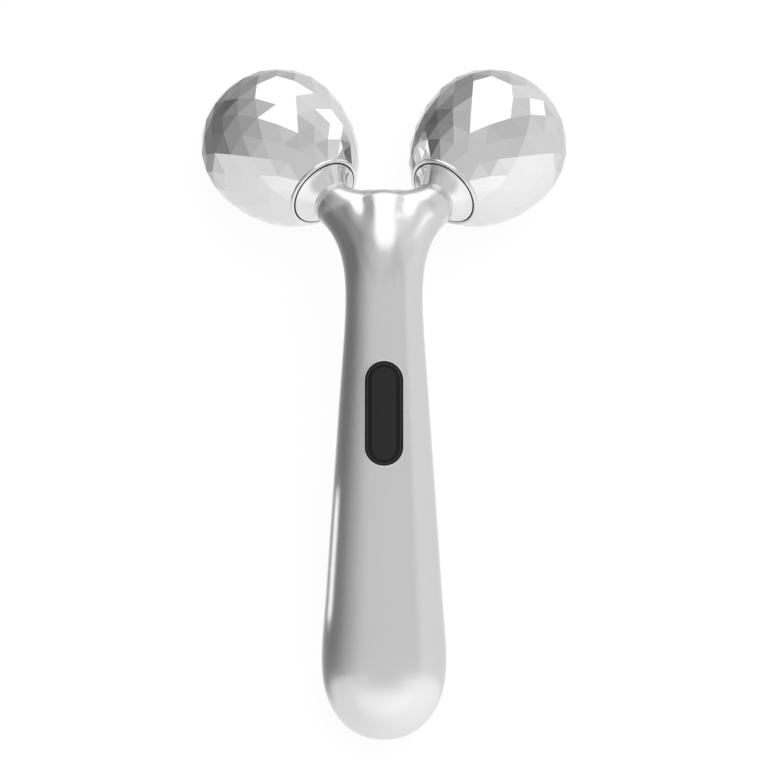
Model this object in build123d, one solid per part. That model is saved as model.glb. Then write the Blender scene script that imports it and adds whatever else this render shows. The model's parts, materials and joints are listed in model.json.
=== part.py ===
from build123d import *
import os
from math import asin, atan2, cos, degrees, exp, inf, pi, radians, sin, sqrt, tan

# A facial toning roller: a Y-shaped handle that carries two faceted balls, each free to spin on
# its own leaning shaft, with a solar cell under a window in the grip.
#
# Sizes are in millimetres.  Everything is built in the handle's own frame: X across, Y along the
# grip from the butt towards the balls, Z out of the face that has the window.  The last step
# tips the whole assembly into the pose in which it lies on a table, on its two balls and its butt.

# ---- grip ----
belly_width = 29.0           # widest place of the grip, near the butt
belly_depth = 26.6
belly_station = 18.5         # from the end of the butt to the widest place
butt_roundness = 2.2         # exponent of the butt's outline, 2 is an ellipse
waist_width = 18.0           # narrowest place, under the head
waist_depth = 17.4
belly_rounding = 3.7         # length over which the straight taper starts
waist_rounding = 6.0         # length over which it ends
grip_wall = 2.0

# ---- head ----
apex_station = 113.0         # where the two ball axes meet, measured from the end of the butt
head_lean = 45.0             # degrees that the head leans back from the grip
bend_radius = 26.0           # of the middle line, from the grip into the head
bar_distance = 13.0          # from the apex to the middle of the bar that closes the head
bar_radius = 6.0
head_width = 31.0            # at the bar
head_thickness = 14.0        # at the bar
head_wall = 1.8
head_squareness = 1.85       # exponent of the head's section at the bar, 2 is an ellipse
flare_power = 2.4            # how late the head widens on its way from the waist
thinning_delay = 2.0
keel_distance = 12.3         # from the apex to the middle of the keel that rounds off the trunk
keel_width = 18.0
keel_length = 12.0
keel_thickness = 14.3
valley_place = 5.0           # from the middle to the valleys between the trunk and the horns
valley_width = 1.8
valley_depth = 0.08          # share of the head's thickness
neck_radius = 5.0            # of a horn where its collar starts
horn_bend_radius = 8.0       # of the middle line, from the bar into a horn
horn_power = 3.0             # how late the bar thins on its way to a neck

# ---- ball axes ----
axis_spread = 34.0           # degrees from the middle plane to each ball axis
neck_station = 22.0          # from the apex to the front of the collar
seam_station = 25.5          # from the apex to the back of the collar

# ---- collars ----
collar_radius = 8.15
collar_rim = 0.55            # straight land at the collar's edge
flare_slope = 28.0           # degrees of the flare at its rim, from square to the axis
collar_edge_round = 0.15
spigot_length = 3.2
spigot_radius = 3.5
sleeve_recess_depth = 0.8

# ---- shafts and what sits on them ----
shaft_radius = 2.0
shaft_root_station = 5.0
shaft_tip_station = 50.2
shaft_tip_chamfer = 0.5
sleeve_wall = 0.7
sleeve_flange_radius = 6.6
ring_thickness = 0.6
ring_outer_radius = 3.1
ring_groove_depth = 0.45
ring_gap = 2.2

# ---- balls ----
ball_radius = 18.0           # at the corners of the widest row of facets
belly_height = 21.2          # from the mouth plane to the widest place
crown_height = 16.5          # from the widest place to the tip
mouth_radius = 9.35
facets_around = 20
facet_rows = [0.35, 3.75, 7.1, 11.0, 15.8, 20.6, 24.1, 27.4, 30.9, 33.9, 36.1, 37.4]
skin_wall = 2.2
core_wall = 1.8
lip_width = 0.8              # smooth bead around the mouth
lip_round_share = 0.48       # nearly half of its width, so the bead is round
lip_overlap = 0.45           # how far the bead reaches past the back of the collar
core_front = 0.95            # from the mouth plane to the front of the resin core
core_split_height = 24.0     # where the cap closes the core
cap_spigot_length = 3.0
cap_spigot_wall = 1.2
cap_spigot_gap = 0.15        # radial, from the wall of the cup
core_web = 2.2
bush_wall = 2.0
bush_flange_radius = 6.0
bush_flange_thickness = 0.8
bush_front = 0.5             # from the mouth plane to the bush's flange
bush_end = 21.9              # from the mouth plane to the tips of the claws
claw_height = 0.55
claw_length = 1.6
claw_slot_length = 6.0
claw_slot_width = 1.0
core_tube_wall = 1.6
core_tube_overrun = 0.6      # past the tips of the bush's claws
cap_rim = 1.5                # height of the cap above the joint at its spigot

# ---- window ----
window_station = 75.9
window_width = 8.84
window_length = 24.2
lens_thickness = 1.2
gasket_thickness = 0.25
window_ledge = 0.9
cell_width = 5.6
cell_length = 20.8
cell_corner = 1.8
cell_thickness = 1.1
cell_drop = 0.7              # from the inside of the shell to the face of the cell
board_margin = 0.7           # the board past the cell at each side
board_thickness = 1.0

# ---- inside the grip ----
chassis_thickness = 2.4
chassis_start = 9.0
chassis_gap = 0.25
chassis_end = 101.8
chassis_slot_width = 8.0
chassis_slots = [(18.0, 34.0), (46.0, 57.0)]
boss_radius = 2.6
board_post_radius = 2.2
board_post_root = 0.5        # above the middle of the chassis
board_screw_radius = 0.8
board_screw_head = 1.5
board_screw_head_height = 0.6
board_screw_grip = 3.0       # of a screw, in its post
board_screw_clearance = 0.3  # from a screw's head to the cell
board_end = 0.4              # of board past the holes of its screws
chassis_screw_radius = 1.25
chassis_screw_head = 2.3
chassis_screw_stations = [39.0, 83.0]
chassis_screw_length = 6.0
yoke_screw_stations = [94.0, 99.0]
yoke_screw_length = 6.4
yoke_boss_height = 2.6
yoke_boss_floor = 0.6
screw_tip_gap = 0.4
driver_slot_width = 0.7
driver_slot_floor = 0.5
screw_head_height = 1.2
socket_radius = 3.5
socket_start = 1.6
socket_end = 14.6
hub_back = 3.0             # from the plane of the ball axes to the hub's back
hub_front = 2.2
hub_reach = 6.0
hub_step = -1.0             # from the apex, along the head, to the top of the step
hub_slope = 3.5             # length of the step from the stem down to the hub
stem_width = 8.0
stem_thickness = 2.6
stem_start = 90.5
contact_width = 7.0
contact_thickness = 0.4
contact_pad = 4.0
contact_reach = 8.5
contact_foot = 2.0
contact_rise = 0.1
lead_radius = 0.45
lead_bend = 0.9
lead_offset = 2.9            # from the middle, clear of the screws
lead_end_gap = 1.0           # from the slot's edge to the end of the lead on the spring
lead_inset = 5.6             # from the board's end to where a lead leaves it

# ---- clearances and cutting ----
running_gap = 0.05           # radial, shaft in bush
seam_gap = 0.28              # radial, collar in the ball's mouth
end_play = 0.2               # axial, between turning and standing faces
fit_gap = 0.05               # between pieces that are pushed or bonded together
overcut = 1.0                # how far a cutting shape reaches past the surface that it opens
section_corners = 32         # points of a section's outline
section_gap = 2.0            # least distance from an end of a loft to its next section
dome_samples = 16
angle_digits = 9             # so that a curve that ends at the tip closes on the axis
rest_samples = 48
rest_steps = 40
steepest_rest = 30.0         # degrees

# ---- worked out from the above ----
lean = radians(head_lean)
spread = radians(axis_spread)
bend_tangent = bend_radius * tan(lean / 2)
bend_start = apex_station - bend_tangent
bend_end = bend_start + bend_radius * lean
bar_station = bend_end + bar_distance - bend_tangent
sleeve_radius = shaft_radius + fit_gap + sleeve_wall
bush_bore = shaft_radius + running_gap
bush_radius = bush_bore + bush_wall
core_bore = bush_radius + fit_gap
lip_inner_radius = collar_radius + seam_gap
ball_tip = belly_height + crown_height
board_screw_spacing = cell_length + 2 * (board_screw_head + board_screw_clearance)
board_length = board_screw_spacing + 2 * (board_screw_radius + board_end)
board_width = cell_width + 2 * board_margin


# ---- small helpers ----
def ease(share):
    """Smooth step from 0 to 1."""
    share = min(max(share, 0.0), 1.0)
    return share * share * (3 - 2 * share)


def tube(outer, inner, low, high):
    """A straight tube around Z."""
    wall = Cylinder(outer, high - low, align=(Align.CENTER, Align.CENTER, Align.MIN))
    bore = Cylinder(inner, high - low, align=(Align.CENTER, Align.CENTER, Align.MIN))
    return Pos(0, 0, low) * (wall - bore)


def rod(radius, low, high):
    """A straight round bar around Z."""
    return Pos(0, 0, low) * Cylinder(radius, high - low, align=(Align.CENTER, Align.CENTER, Align.MIN))


def block(width, length, low, high):
    """A box centred on X and Y that reaches from low to high."""
    return Pos(0, 0, low) * Box(width, length, high - low, align=(Align.CENTER, Align.CENTER, Align.MIN))


# ---- the handle's outside ----
def spine_point(station):
    """Middle line of the handle: the point and the direction in the YZ plane."""
    if station <= bend_start:
        return Vector(0, station, 0), 0.0
    angle = min((station - bend_start) / bend_radius, lean)
    y = bend_start + bend_radius * sin(angle)
    z = -bend_radius * (1 - cos(angle))
    past = max(station - bend_end, 0.0)
    return Vector(0, y + past * cos(angle), z - past * sin(angle)), angle


def section_plane(station):
    """Plane square to the middle line, with its Y towards the face of the handle."""
    point, angle = spine_point(station)
    return Plane(origin=point, x_dir=(-1, 0, 0), z_dir=(0, cos(angle), -sin(angle)))


def grip_share(station):
    return (station - belly_station) / (bend_start - belly_station)


def half_width(station):
    if station < belly_station:
        inside = max(1 - ((belly_station - station) / belly_station) ** butt_roundness, 0.0)
        return belly_width / 2 * inside ** (1 / butt_roundness)
    if station <= bend_start:
        length = bend_start - belly_station
        slope = (belly_width - waist_width) / 2 / (length - (belly_rounding + waist_rounding) / 2)
        from_belly, to_waist = station - belly_station, bend_start - station
        if from_belly < belly_rounding:
            return belly_width / 2 - slope * from_belly ** 2 / (2 * belly_rounding)
        if to_waist < waist_rounding:
            return waist_width / 2 + slope * to_waist ** 2 / (2 * waist_rounding)
        return belly_width / 2 - slope * (from_belly - belly_rounding / 2)
    share = (station - bend_start) / (bar_station - bend_start)
    return waist_width / 2 + (head_width - waist_width) / 2 * share ** flare_power


def half_depth(station):
    belly_ratio, waist_ratio = belly_depth / belly_width, waist_depth / waist_width
    if station <= bend_start:
        share = max(grip_share(station), 0.0)
        return half_width(station) * (belly_ratio + (waist_ratio - belly_ratio) * share)
    share = (station - bend_start) / (bar_station - bend_start)
    return waist_depth / 2 + (head_thickness - waist_depth) / 2 * ease(share) ** thinning_delay


def section_face(station, inset=0.0):
    """Closed section of the handle, an ellipse on the grip and leaner towards the bar."""
    share = ease((station - bend_start) / (bar_station - bend_start))
    power = 2 / (2 + (head_squareness - 2) * share)
    sink = valley_depth * ease(2 * share - 1)
    width, depth = half_width(station) - inset, half_depth(station) - inset
    points = []
    for step in range(section_corners):
        angle = 2 * pi * step / section_corners - pi / 2
        c, s = cos(angle), sin(angle)
        x = width * abs(c) ** power * (1 if c > 0 else -1)
        y = depth * abs(s) ** power * (1 if s > 0 else -1)
        valley = exp(-(((abs(x) - valley_place) / valley_width) ** 2))
        points.append((x, y * (1 - sink * valley)))
    return section_plane(station) * make_face(Spline(points, periodic=True))


def handle_form(inset=0.0, start=0.0, end=None):
    """Solid of the grip and head up to the bar, made smaller all round by inset."""
    end = bar_station if end is None else end
    butt_shares = [0.02, 0.07, 0.16, 0.30, 0.50, 0.75]
    grip_shares = [0.0, 0.14, 0.34, 0.56, 0.78, 0.93]
    head_shares = [0.0, 0.16, 0.32, 0.46, 0.58, 0.70, 0.80, 0.90, 1.0]
    stations = [belly_station * share for share in butt_shares]
    stations += [belly_station + (bend_start - belly_station) * share for share in grip_shares]
    stations += [bend_start + (bar_station - bend_start) * share for share in head_shares]
    if start > 0:
        stations = [start] + [s for s in stations if s > start + section_gap]
    if end < bar_station:
        stations = [s for s in stations if s < end - section_gap] + [end]
    sections = [section_face(s, inset) for s in stations]
    if start <= 0:
        return loft([Vertex(0, 0, 0)] + sections)
    return loft(sections)


# ---- frames ----
def ball_frame(side):
    """Frame at the apex with Z along a ball's axis and X out of the face; side is -1 or 1."""
    axis = Vector(side * sin(spread), cos(spread) * cos(lean), -cos(spread) * sin(lean))
    return Plane(origin=(0, apex_station, 0), x_dir=(0, sin(lean), cos(lean)), z_dir=axis)


def head_plane():
    """Plane that holds both ball axes, its X across and its Y along the head."""
    return Plane(origin=(0, apex_station, 0), x_dir=(1, 0, 0), z_dir=(0, sin(lean), cos(lean)))


def window_plane():
    """Plane that touches the face of the grip at the middle of the window, Y along the grip."""
    reach = window_length / 2
    rise = half_depth(window_station + reach) - half_depth(window_station - reach)
    slope = atan2(rise, window_length)
    return Plane(
        origin=(0, window_station, half_depth(window_station)),
        x_dir=(1, 0, 0),
        z_dir=(0, -sin(slope), cos(slope)),
    )


def along_grip(station, height=0.0):
    """Frame on the middle line of the grip with Z out of the face."""
    return Location((0, station, height))


# ---- handle shells ----
def horn_sections(inset=0.0, end=None):
    """Round sections of the bar and both horns, from the left neck to the right one."""
    end = neck_station if end is None else end
    turn = pi / 2 - spread
    tangent = horn_bend_radius * tan(turn / 2)
    half_bar = bar_distance * tan(spread) - tangent
    arc_start = bar_distance / cos(spread) + tangent
    places = [(half_bar + horn_bend_radius * sin(a), horn_bend_radius * (1 - cos(a)), a)
              for a in (0.0, turn / 3, 2 * turn / 3, turn)]
    straight = [(arc_start + end) / 2, end]
    sections = []
    for x, rise, angle in places:
        sections.append((x, bar_distance + rise, angle, half_bar + horn_bend_radius * angle))
    for distance in straight:
        travelled = half_bar + horn_bend_radius * turn + distance - arc_start
        sections.append((distance * sin(spread), distance * cos(spread), turn, travelled))
    length = sections[-1][3]
    right = [(0.0, bar_distance, 0.0, 0.0)] + sections
    both = [(-x, y, -angle, travelled) for x, y, angle, travelled in reversed(sections)] + right
    faces = []
    for x, y, angle, travelled in both:
        share = (travelled / length) ** horn_power
        radius = bar_radius + (neck_radius - bar_radius) * share - inset
        plane = Plane(origin=(x, y, 0), x_dir=(0, 0, 1), z_dir=(cos(angle), sin(angle), 0))
        faces.append(head_plane() * (plane * Circle(radius)))
    return faces


def horns(inset=0.0, end=None):
    """The bar and both horns as one bent round bar that thins towards its ends."""
    return loft(horn_sections(inset, end))


def keel():
    """Rounded end of the trunk, proud of the bar between the horns."""
    ball = scale(Rot(0, 90, 0) * Sphere(1), by=(keel_width / 2, keel_length / 2, keel_thickness / 2))
    return head_plane() * Pos(0, keel_distance, 0) * ball


def parting_region(side):
    """Everything in front (1) or behind (-1) the parting surface, which follows the middle line."""
    reach = apex_station
    start = (-overcut, 0.0)
    bend_in = (bend_start, 0.0)
    middle, _ = spine_point((bend_start + bend_end) / 2)
    bend_out, _ = spine_point(bend_end)
    far, _ = spine_point(bend_end + reach)
    outline = Curve() + [
        Line(start, bend_in),
        ThreePointArc(bend_in, (middle.Y, middle.Z), (bend_out.Y, bend_out.Z)),
        Polyline(
            (bend_out.Y, bend_out.Z), (far.Y, far.Z), (far.Y, side * reach), (start[0], side * reach), start
        ),
    ]
    return extrude(Plane.YZ * make_face(outline), reach, both=True)


def window_prism(grow):
    """Pill-shaped prism through the face of the grip, larger all round than the window by grow."""
    pill = SlotOverall(window_length + 2 * grow, window_width + 2 * grow, rotation=90)
    return window_plane() * extrude(pill, half_depth(window_station) / 2, both=True)


def hollowed(half):
    """Half of the handle's outside, hollowed and bored for the spigots of the collars."""
    half -= handle_form(grip_wall, grip_wall, bend_start)
    half -= handle_form(head_wall, bend_start - 0.01, bar_station)
    for side in (-1, 1):
        half -= ball_frame(side) * rod(spigot_radius + fit_gap, 0.0, neck_station + overcut)
    return half


def shells():
    body = handle_form() + horns() + keel()
    upper, lower = (hollowed(body & parting_region(side)) for side in (1, -1))
    recess = window_prism(0) - handle_form(lens_thickness + gasket_thickness)
    upper -= recess
    upper -= window_prism(-window_ledge)
    for station in chassis_screw_stations:
        root = -half_depth(station) + grip_wall / 2
        post = along_grip(station) * rod(boss_radius, root, -chassis_thickness / 2)
        pilot = along_grip(station) * rod(chassis_screw_radius, -chassis_screw_length, 0)
        lower = lower + post - pilot
    return upper, lower


# ---- window ----
def lens():
    return (window_prism(-fit_gap) & handle_form()) - handle_form(lens_thickness)


def lens_gasket():
    frame = window_prism(-fit_gap) - window_prism(-window_ledge)
    return (frame & handle_form(lens_thickness)) - handle_form(lens_thickness + gasket_thickness)


def cell_top():
    """Height of the cell's face in the window's plane."""
    return -(grip_wall + cell_drop)


def solar_cell():
    top = cell_top()
    outline = RectangleRounded(cell_width, cell_length, cell_corner)
    return window_plane() * Pos(0, 0, top - cell_thickness) * extrude(outline, cell_thickness)


def cell_board():
    top = cell_top() - cell_thickness
    board = block(board_width, board_length, top - board_thickness, top)
    hole = rod(board_screw_radius + fit_gap, top - board_thickness - overcut, top + overcut)
    for end in (-1, 1):
        board -= Pos(0, end * board_screw_spacing / 2, 0) * hole
    return window_plane() * board


def board_screws():
    top = cell_top() - cell_thickness
    screw = rod(board_screw_radius, top - board_thickness - board_screw_grip, top)
    screw += rod(board_screw_head, top, top + board_screw_head_height)
    return [window_plane() * Pos(0, end * board_screw_spacing / 2, 0) * screw for end in (-1, 1)]


# ---- chassis and yoke ----
def head_point(along, out):
    """Point of the YZ plane given from the apex, along the head and out of its plane."""
    return (apex_station + along * cos(lean) + out * sin(lean), -along * sin(lean) + out * cos(lean))


def chassis():
    slab = Box(belly_width, chassis_end - chassis_start, chassis_thickness)
    slab = Pos(0, (chassis_start + chassis_end) / 2, 0) * slab
    plate = slab & handle_form(grip_wall + chassis_gap, grip_wall, bend_start)
    for low, high in chassis_slots:
        slot = SlotOverall(high - low, chassis_slot_width, rotation=90)
        plate -= Pos(0, (low + high) / 2, 0) * extrude(slot, chassis_thickness, both=True)
    board_low = cell_top() - cell_thickness - board_thickness
    for end in (-1, 1):
        spot = window_plane() * Pos(0, end * board_screw_spacing / 2, 0)
        plate += spot * rod(board_post_radius, -half_depth(window_station) + board_post_root, board_low)
        plate -= spot * rod(board_screw_radius, board_low - board_screw_grip, board_low)
    hole = rod(chassis_screw_radius + fit_gap, -chassis_thickness, chassis_thickness)
    for station in chassis_screw_stations:
        plate -= along_grip(station) * hole
    for station in yoke_screw_stations:
        low = -chassis_thickness / 2 - yoke_boss_height
        plate += along_grip(station) * rod(boss_radius, low, 0)
        plate -= along_grip(station) * rod(chassis_screw_radius, low + yoke_boss_floor, chassis_thickness)
    return plate


def pan_screw(shank, head, length):
    """Pan-head screw with its head's underside at height 0."""
    slot = block(driver_slot_width, 2 * head, driver_slot_floor, screw_head_height + overcut)
    return rod(shank, -length, 0) + rod(head, 0, screw_head_height) - slot


def chassis_screws():
    screw = pan_screw(chassis_screw_radius, chassis_screw_head, chassis_screw_length - screw_tip_gap)
    return [along_grip(s, chassis_thickness / 2) * screw for s in chassis_screw_stations]


def yoke():
    """Cast Y that holds both shafts and carries the current to them."""
    low, high = chassis_thickness / 2, chassis_thickness / 2 + stem_thickness
    back_bend = apex_station - hub_back / sin(lean) - low
    step = head_point(hub_step, hub_front)
    side_view = Polyline(
        (stem_start, low),
        (back_bend, low),
        head_point(hub_reach, -hub_back),
        head_point(hub_reach, hub_front),
        step,
        (step[0] - hub_slope, high),
        (stem_start, high),
        (stem_start, low),
    )
    body = extrude(Plane.YZ * make_face(side_view), stem_width / 2, both=True)
    for side in (-1, 1):
        body += ball_frame(side) * rod(socket_radius, socket_start, socket_end)
    for side in (-1, 1):
        body -= ball_frame(side) * rod(shaft_radius, shaft_root_station, socket_end + overcut)
    for station in yoke_screw_stations:
        body -= along_grip(station) * rod(chassis_screw_radius + fit_gap, 0, high + overcut)
    return body


def yoke_screws():
    screw = pan_screw(chassis_screw_radius, chassis_screw_head, yoke_screw_length)
    return [along_grip(s, chassis_thickness / 2 + stem_thickness) * screw for s in yoke_screw_stations]


# ---- collars, shafts, sleeves and retaining rings, drawn about a ball's axis ----
def collar():
    rim_low = seam_station - collar_rim
    flare_end = (collar_radius - collar_edge_round, rim_low)
    corner = (collar_radius, rim_low + collar_edge_round)
    bore = sleeve_radius + fit_gap
    recess = sleeve_flange_radius + fit_gap
    floor = seam_station - sleeve_recess_depth
    return turned(
        Spline((neck_radius, neck_station), flare_end, tangents=[(0, 1), (1, tan(radians(flare_slope)))]),
        Polyline(
            flare_end,
            corner,
            (collar_radius, seam_station),
            (recess, seam_station),
            (recess, floor),
            (bore, floor),
            (bore, neck_station - spigot_length),
            (spigot_radius, neck_station - spigot_length),
            (spigot_radius, neck_station),
            (neck_radius, neck_station),
        ),
    )


def insulator():
    face = seam_station + bush_front - end_play
    sleeve = tube(sleeve_radius, shaft_radius + fit_gap, socket_end + fit_gap, face)
    flange = tube(sleeve_flange_radius, shaft_radius + fit_gap, seam_station - sleeve_recess_depth, face)
    return sleeve + flange


def shaft():
    body = rod(shaft_radius, shaft_root_station, shaft_tip_station)
    tip = body.faces().sort_by(Axis.Z)[-1]
    body = chamfer(tip.edges(), shaft_tip_chamfer)
    low = seam_station + bush_end + end_play
    high = low + ring_thickness + fit_gap
    groove = tube(shaft_radius + overcut, shaft_radius - ring_groove_depth, low, high)
    return body - groove


def retaining_ring():
    low = seam_station + bush_end + end_play + fit_gap / 2
    ring = tube(ring_outer_radius, shaft_radius - ring_groove_depth + fit_gap, low, low + ring_thickness)
    side = (Align.MIN, Align.CENTER, Align.CENTER)
    gap = Box(ring_outer_radius * 2, ring_gap, ring_thickness * 3, align=side)
    return ring - Pos(0, 0, low) * gap


# ---- balls, drawn about their own axis with the mouth plane at height 0 ----
def throat_height():
    """Half axis of the lower curve, so that it passes through the mouth."""
    drop = belly_height - facet_rows[0]
    return drop / sqrt(1 - (mouth_radius / ball_radius) ** 2)


def ball_outline_radius(height, inset=0.0):
    semi = (crown_height if height > belly_height else throat_height()) - inset
    share = (height - belly_height) / semi
    return (ball_radius - inset) * sqrt(max(1 - share * share, 0.0))


def facet_corners():
    """Corners of the facets: rings of corners, each turned half a facet from the one before."""
    corners = []
    for row, height in enumerate(facet_rows):
        radius = ball_outline_radius(height)
        for step in range(facets_around):
            angle = 2 * pi * (step + (row % 2 == 0) * 0.5) / facets_around
            corners.append((radius * cos(angle), radius * sin(angle), height))
    return corners + [(0, 0, ball_tip)]


def height_at(radius, inset):
    """Height below the widest place at which the outline, offset by inset, has this radius."""
    return belly_height - (throat_height() - inset) * sqrt(1 - (radius / (ball_radius - inset)) ** 2)


def dome_angle(height, inset):
    """Angle along the outline, 0 at the widest place and 90 degrees at the tip."""
    semi = (crown_height if height > belly_height else throat_height()) - inset
    return asin(max(min(round((height - belly_height) / semi, angle_digits), 1.0), -1.0))


def dome(inset, low, high):
    """Outline of the ball made smaller by inset, as one curve from one height up to another."""
    first, last = dome_angle(low, inset), dome_angle(high, inset)
    points = []
    for step in range(dome_samples + 1):
        angle = first + (last - first) * step / dome_samples
        semi = (crown_height if angle > 0 else throat_height()) - inset
        points.append(((ball_radius - inset) * cos(angle), belly_height + semi * sin(angle)))
    return Spline(points)


def turned(*edges):
    """Solid of revolution about Z from an outline drawn as radius and height."""
    return revolve(Plane.XZ * make_face(Curve() + list(edges)), Axis.Z)


def ball_skin():
    throat_top = height_at(lip_inner_radius, skin_wall)
    crown = ball_tip - skin_wall
    hollow = turned(
        Polyline((0, crown), (0, -overcut), (lip_inner_radius, -overcut), (lip_inner_radius, throat_top)),
        dome(skin_wall, throat_top, crown),
    )
    ball = ConvexPolyhedron(facet_corners()) - hollow
    bead = tube(lip_inner_radius + lip_width, lip_inner_radius, -lip_overlap, facet_rows[0])
    front = bead.faces().sort_by(Axis.Z)[0]
    return ball + fillet(front.edges(), lip_width * lip_round_share)


def ball_core():
    """Resin cup inside the skin, with the tube that holds the bush."""
    outside, inside = skin_wall + fit_gap, skin_wall + core_wall
    throat = lip_inner_radius - fit_gap
    throat_top = height_at(throat, outside)
    web_top = core_front + core_web
    tube_radius, tube_top = core_bore + core_tube_wall, bush_end + core_tube_overrun
    claw_radius, claw_low = core_bore + claw_height + fit_gap, bush_end - claw_length - fit_gap
    seat_radius, seat = bush_flange_radius + fit_gap, bush_front + bush_flange_thickness
    return turned(
        Line((throat, core_front), (throat, throat_top)),
        dome(outside, throat_top, core_split_height),
        Line(
            (ball_outline_radius(core_split_height, outside), core_split_height),
            (ball_outline_radius(core_split_height, inside), core_split_height),
        ),
        dome(inside, web_top, core_split_height),
        Polyline(
            (ball_outline_radius(web_top, inside), web_top),
            (tube_radius, web_top),
            (tube_radius, tube_top),
            (claw_radius, tube_top),
            (claw_radius, claw_low),
            (core_bore, claw_low),
            (core_bore, seat),
            (seat_radius, seat),
            (seat_radius, core_front),
            (throat, core_front),
        ),
    )


def core_cap():
    """Dome that closes the resin cup, with a spigot inside the cup's wall."""
    outside, inside = skin_wall + fit_gap, skin_wall + core_wall
    joint = core_split_height + fit_gap
    shoulder = joint + cap_rim
    spigot = ball_outline_radius(core_split_height, inside) - cap_spigot_gap
    return turned(
        dome(outside, joint, ball_tip - outside),
        Line((0, ball_tip - outside), (0, ball_tip - inside)),
        dome(inside, shoulder, ball_tip - inside),
        Polyline(
            (ball_outline_radius(shoulder, inside), shoulder),
            (spigot - cap_spigot_wall, shoulder),
            (spigot - cap_spigot_wall, core_split_height - cap_spigot_length),
            (spigot, core_split_height - cap_spigot_length),
            (spigot, joint),
            (ball_outline_radius(joint, outside), joint),
        ),
    )


def bush():
    body = tube(bush_radius, bush_bore, bush_front, bush_end)
    body += tube(bush_flange_radius, bush_bore, bush_front, bush_front + bush_flange_thickness)
    claw_low = bush_end - claw_length
    root = bush_radius - claw_height
    body += turned(
        Polyline(
            (root, claw_low),
            (bush_radius + claw_height, claw_low),
            (bush_radius + claw_height, claw_low + claw_length / 3),
            (root, bush_end),
            (root, claw_low),
        )
    )
    slot = block(bush_radius * 3, claw_slot_width, bush_end - claw_slot_length, bush_end + 1)
    return body - slot - Rot(0, 0, 90) * slot


# ---- wiring ----
def lead(*points):
    path = FilletPolyline(*points, radius=lead_bend)
    return sweep(Plane(origin=path @ 0, z_dir=path % 0) * Circle(lead_radius), path)


def board_underside(x, y):
    """A point under the board, in the handle's frame; y is measured from the board's middle."""
    low = cell_top() - cell_thickness - board_thickness
    return (window_plane() * Location((x, y, low))).position


def lead_positive():
    """From the board's upper end down and along to the yoke's stem."""
    x, y, z = board_underside(lead_offset, board_length / 2 - lead_inset)
    height = (chassis_thickness + stem_thickness) / 2
    return lead((x, y, z), (x, y, height), (x, stem_start, height))


def lead_negative():
    """From the board's lower end down and along to the pad of the contact spring."""
    x, y, z = board_underside(-lead_offset, lead_inset - board_length / 2)
    height = chassis_thickness / 2 + contact_thickness + lead_radius
    return lead((x, y, z), (x, y, height), (x, contact_slot_edge() + lead_end_gap, height))


def contact_slot_edge():
    """End of the last slot, where its round end is as wide as the spring."""
    radius = chassis_slot_width / 2
    return chassis_slots[-1][1] - radius + sqrt(radius ** 2 - (contact_width / 2) ** 2)


def shell_contact():
    """Leaf spring from a pad on the chassis, down through its slot, to the lower shell."""
    edge, half = contact_slot_edge(), contact_thickness / 2
    foot = edge - contact_reach
    side = contact_width / 2 / (half_width(foot) - grip_wall)
    floor = half + contact_rise - (half_depth(foot) - grip_wall) * sqrt(1 - side ** 2)
    pad = chassis_thickness / 2 + half
    path = Polyline(
        (edge + contact_pad, pad),
        (edge - half - fit_gap, pad),
        (edge - half - fit_gap, -pad),
        (foot + contact_foot, floor),
        (foot, floor),
    )
    return extrude(Plane.YZ * trace(path, contact_thickness), contact_width / 2, both=True)


# ---- resting pose ----
def rest_reach(pitch):
    """Lowest points of the butt and of the balls when the handle is pitched up by this angle."""
    butt = inf
    for step in range(rest_samples):
        station = belly_station * 2 * (step + 0.5) / rest_samples
        butt = min(butt, station * sin(pitch) - half_depth(station) * cos(pitch))
    frame = ball_frame(1)
    balls = inf
    for x, y, z in facet_corners():
        point = frame.from_local_coords(Vector(x, y, z + seam_station))
        balls = min(balls, point.Y * sin(pitch) + point.Z * cos(pitch))
    return butt, balls


def rest_pitch():
    """Angle at which the butt and the balls touch one plane."""
    low, high = 0.0, radians(steepest_rest)
    for _ in range(rest_steps):
        middle = (low + high) / 2
        butt, balls = rest_reach(middle)
        low, high = (middle, high) if balls < butt else (low, middle)
    return (low + high) / 2


def rest_location():
    """Moves a piece from the handle's frame to the table's frame."""
    pitch = rest_pitch()
    butt, balls = rest_reach(pitch)
    nearest, farthest = inf, -inf
    for step in range(rest_samples):
        station = belly_station * (step + 0.5) / rest_samples
        for face in (-1, 1):
            nearest = min(nearest, station * cos(pitch) - face * half_depth(station) * sin(pitch))
    frame = ball_frame(1)
    for x, y, z in facet_corners():
        point = frame.from_local_coords(Vector(x, y, z + seam_station))
        farthest = max(farthest, point.Y * cos(pitch) - point.Z * sin(pitch))
    lift = Pos(0, -(nearest + farthest) / 2, -min(butt, balls))
    return lift * Rot(degrees(pitch), 0, 0)


# ---- assembly ----
def assembly():
    upper, lower = shells()
    parts = {
        "upper_shell": upper,
        "lower_shell": lower,
        "window_lens": lens(),
        "lens_gasket": lens_gasket(),
        "solar_cell": solar_cell(),
        "cell_board": cell_board(),
        "board_screws": board_screws(),
        "chassis": chassis(),
        "chassis_screws": chassis_screws(),
        "yoke": yoke(),
        "yoke_screws": yoke_screws(),
        "lead_positive": lead_positive(),
        "lead_negative": lead_negative(),
        "shell_contact": shell_contact(),
    }
    for name, side in (("left", -1), ("right", 1)):
        frame = ball_frame(side)
        mouth = frame * Pos(0, 0, seam_station)
        parts["collar_" + name] = frame * collar()
        parts["insulator_" + name] = frame * insulator()
        parts["shaft_" + name] = frame * shaft()
        parts["retaining_ring_" + name] = frame * retaining_ring()
        parts["ball_skin_" + name] = mouth * ball_skin()
        parts["ball_core_" + name] = mouth * ball_core()
        parts["core_cap_" + name] = mouth * core_cap()
        parts["bush_" + name] = mouth * bush()
    return parts


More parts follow.
